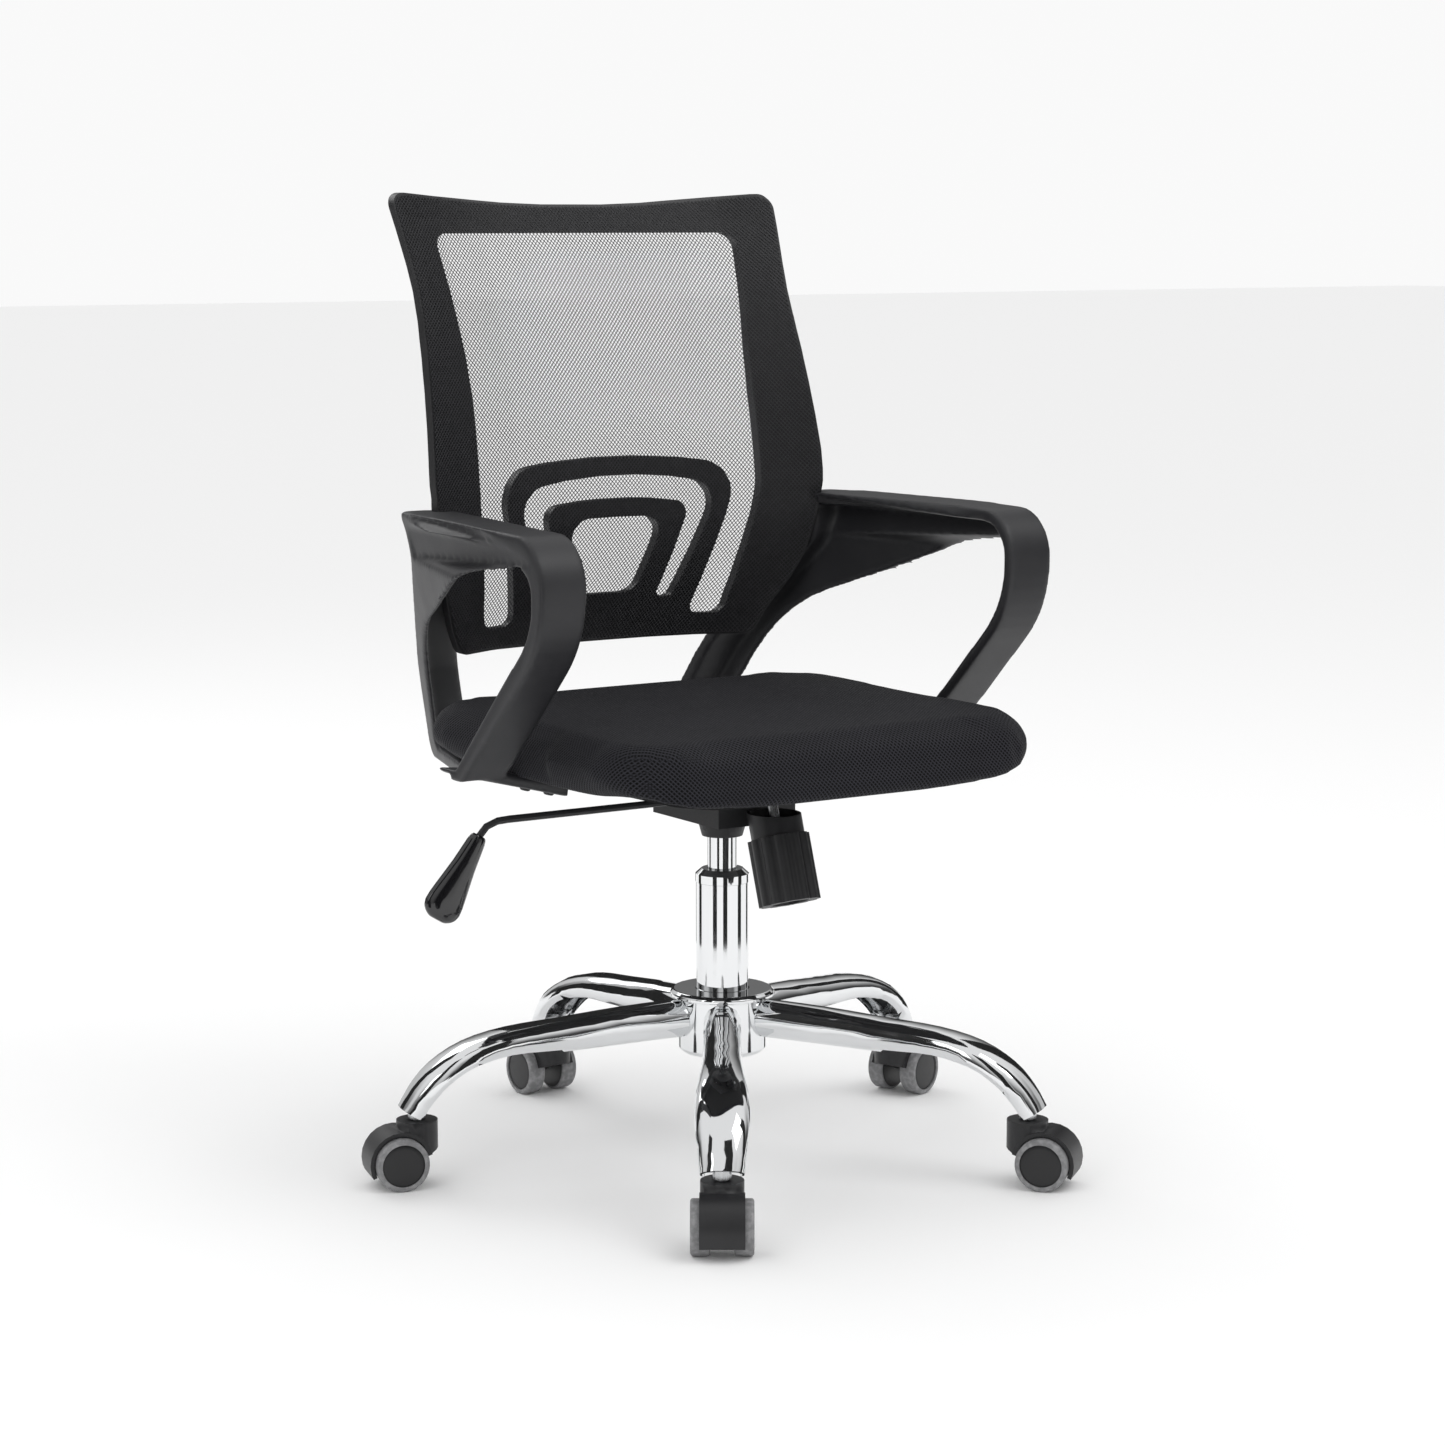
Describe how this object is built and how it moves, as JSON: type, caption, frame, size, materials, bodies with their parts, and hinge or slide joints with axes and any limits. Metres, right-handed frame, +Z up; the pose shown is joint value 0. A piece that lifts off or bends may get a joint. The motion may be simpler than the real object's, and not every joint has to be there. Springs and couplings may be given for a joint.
{
  "type": "swivel office chair",
  "caption": "Mesh-back swivel office chair with loop armrests, gas lift, tilt mechanism and a chromed star base on twin-wheel casters.",
  "frame": {"origin": "on the floor under the middle of the chair's overall box; the column stands 4 mm to +X and 21 mm to -Y of it", "axes": "+Z up, the sitter faces -Y, the sitter's left is +X"},
  "size_m": [0.6753, 0.6532, 0.9187],
  "materials": {
    "chrome": "mirror chrome plate",
    "steel": "plain zinc-plated steel",
    "black_steel": "black powder coat",
    "black_plastic": "fine-textured black moulding",
    "gloss_plastic": "smooth glossy black moulding",
    "charcoal_nylon": "charcoal moulding with a fine grain",
    "wheel_plastic": "grey tread ring around a black hub cap",
    "seat_fabric": "black twill-like cloth over foam",
    "back_mesh": "black open mesh cloth",
    "plywood": "bare moulded plywood"
  },
  "bodies": {
    "base": {"base_hub": "chrome", "leg_1": "chrome", "leg_2": "chrome", "leg_3": "chrome", "leg_4": "chrome", "leg_5": "chrome", "stem_socket_1": "steel", "stem_socket_2": "steel", "stem_socket_3": "steel", "stem_socket_4": "steel", "stem_socket_5": "steel", "column_tube": "chrome", "column_cap": "chrome", "guide_bush": "black_plastic"},
    "lift_rod": {"piston_rod": "steel", "thrust_bearing": "steel", "retaining_clip": "steel"},
    "lift_column": {"pressure_cylinder": "chrome", "mechanism_housing": "black_steel", "tilt_shaft": "steel"},
    "valve_pin": {"release_pin": "steel"},
    "seat_unit": {"seat_plate": "black_steel", "seat_pan": "plywood", "seat_cushion": "seat_fabric", "armrest_left": "charcoal_nylon", "armrest_right": "charcoal_nylon", "back_frame": "black_plastic", "back_mesh": "back_mesh", "tension_bolt": "steel", "tension_spring": "steel", "spring_cover": "black_plastic"},
    "knob": {"tension_knob": "black_plastic"},
    "lever_pivot": {"lever_bush": "black_plastic"},
    "lever": {"lever_rod": "black_steel", "lever_handle": "gloss_plastic"},
    "caster_1": {"caster_hood_1": "black_plastic", "caster_stem_1": "steel", "caster_axle_1": "steel"},
    "caster_2": {"caster_hood_2": "black_plastic", "caster_stem_2": "steel", "caster_axle_2": "steel"},
    "caster_3": {"caster_hood_3": "black_plastic", "caster_stem_3": "steel", "caster_axle_3": "steel"},
    "caster_4": {"caster_hood_4": "black_plastic", "caster_stem_4": "steel", "caster_axle_4": "steel"},
    "caster_5": {"caster_hood_5": "black_plastic", "caster_stem_5": "steel", "caster_axle_5": "steel"},
    "left_wheel_1": {"wheel_left_1": "wheel_plastic"},
    "left_wheel_2": {"wheel_left_2": "wheel_plastic"},
    "left_wheel_3": {"wheel_left_3": "wheel_plastic"},
    "left_wheel_4": {"wheel_left_4": "wheel_plastic"},
    "left_wheel_5": {"wheel_left_5": "wheel_plastic"},
    "right_wheel_1": {"wheel_right_1": "wheel_plastic"},
    "right_wheel_2": {"wheel_right_2": "wheel_plastic"},
    "right_wheel_3": {"wheel_right_3": "wheel_plastic"},
    "right_wheel_4": {"wheel_right_4": "wheel_plastic"},
    "right_wheel_5": {"wheel_right_5": "wheel_plastic"}
  },
  "joints": [
    {"name": "seat_swivel", "type": "hinge", "parent": "base", "child": "lift_rod", "pos_m": [0.004, -0.021, 0.116], "axis": [0, 0, 1], "continuous": true},
    {"name": "gas_lift", "type": "slide", "parent": "lift_rod", "child": "lift_column", "axis": [0, 0, 1], "range_m": [0, 0.1]},
    {"name": "seat_tilt", "type": "hinge", "parent": "lift_column", "child": "seat_unit", "pos_m": [0.004, -0.046, 0.366], "axis": [-1, 0, 0], "range_deg": [0, 12], "stiffness_Nm_per_rad": 150, "springref_deg": -17.19},
    {"name": "tension_turn", "type": "hinge", "parent": "seat_unit", "child": "knob", "pos_m": [0.004, -0.136, 0.268], "axis": [0, 0.3173, 0.9483], "continuous": true},
    {"name": "lever_lift", "type": "hinge", "parent": "lift_column", "child": "lever_pivot", "pos_m": [-0.0375, -0.021, 0.352], "axis": [0, 1, 0], "range_deg": [0, 5], "stiffness_Nm_per_rad": 2, "springref_deg": -11.46},
    {"name": "lever_pull", "type": "slide", "parent": "lever_pivot", "child": "lever", "axis": [-1, 0, 0], "range_m": [0, 0.012]},
    {"name": "release_press", "type": "slide", "parent": "lift_column", "child": "valve_pin", "axis": [0, 0, -1], "range_m": [0, 0.0045]},
    {"name": "caster_swivel_1", "type": "hinge", "parent": "base", "child": "caster_1", "pos_m": [0.28407, 0.08651, 0.06], "axis": [0, 0, 1], "continuous": true},
    {"name": "caster_swivel_2", "type": "hinge", "parent": "base", "child": "caster_2", "pos_m": [-0.0117, 0.27859, 0.06], "axis": [0, 0, 1], "continuous": true},
    {"name": "caster_swivel_3", "type": "hinge", "parent": "base", "child": "caster_3", "pos_m": [-0.28578, 0.05665, 0.06], "axis": [0, 0, 1], "continuous": true},
    {"name": "caster_swivel_4", "type": "hinge", "parent": "base", "child": "caster_4", "pos_m": [-0.15939, -0.2726, 0.06], "axis": [0, 0, 1], "continuous": true},
    {"name": "caster_swivel_5", "type": "hinge", "parent": "base", "child": "caster_5", "pos_m": [0.1928, -0.25414, 0.06], "axis": [0, 0, 1], "continuous": true},
    {"name": "wheel_spin_left_1", "type": "hinge", "parent": "caster_1", "child": "left_wheel_1", "pos_m": [0.30181, 0.09332, 0.025], "axis": [-0.3584, 0.9336, 0], "continuous": true},
    {"name": "wheel_spin_left_2", "type": "hinge", "parent": "caster_2", "child": "left_wheel_2", "pos_m": [-0.01269, 0.29756, 0.025], "axis": [-0.9986, -0.0523, 0], "continuous": true},
    {"name": "wheel_spin_left_3", "type": "hinge", "parent": "caster_3", "child": "left_wheel_3", "pos_m": [-0.30413, 0.06156, 0.025], "axis": [-0.2588, -0.9659, 0], "continuous": true},
    {"name": "wheel_spin_left_4", "type": "hinge", "parent": "caster_4", "child": "left_wheel_4", "pos_m": [-0.16974, -0.28854, 0.025], "axis": [0.8387, -0.5446, 0], "continuous": true},
    {"name": "wheel_spin_left_5", "type": "hinge", "parent": "caster_5", "child": "left_wheel_5", "pos_m": [0.20475, -0.26891, 0.025], "axis": [0.7771, 0.6293, 0], "continuous": true},
    {"name": "wheel_spin_right_1", "type": "hinge", "parent": "caster_1", "child": "right_wheel_1", "pos_m": [0.30181, 0.09332, 0.025], "axis": [-0.3584, 0.9336, 0], "continuous": true},
    {"name": "wheel_spin_right_2", "type": "hinge", "parent": "caster_2", "child": "right_wheel_2", "pos_m": [-0.01269, 0.29756, 0.025], "axis": [-0.9986, -0.0523, 0], "continuous": true},
    {"name": "wheel_spin_right_3", "type": "hinge", "parent": "caster_3", "child": "right_wheel_3", "pos_m": [-0.30413, 0.06156, 0.025], "axis": [-0.2588, -0.9659, 0], "continuous": true},
    {"name": "wheel_spin_right_4", "type": "hinge", "parent": "caster_4", "child": "right_wheel_4", "pos_m": [-0.16974, -0.28854, 0.025], "axis": [0.8387, -0.5446, 0], "continuous": true},
    {"name": "wheel_spin_right_5", "type": "hinge", "parent": "caster_5", "child": "right_wheel_5", "pos_m": [0.20475, -0.26891, 0.025], "axis": [0.7771, 0.6293, 0], "continuous": true}
  ],
  "couplings": [
    {"joint": "release_press", "follows": "lever_lift", "m_per_rad": 0.046}
  ]
}
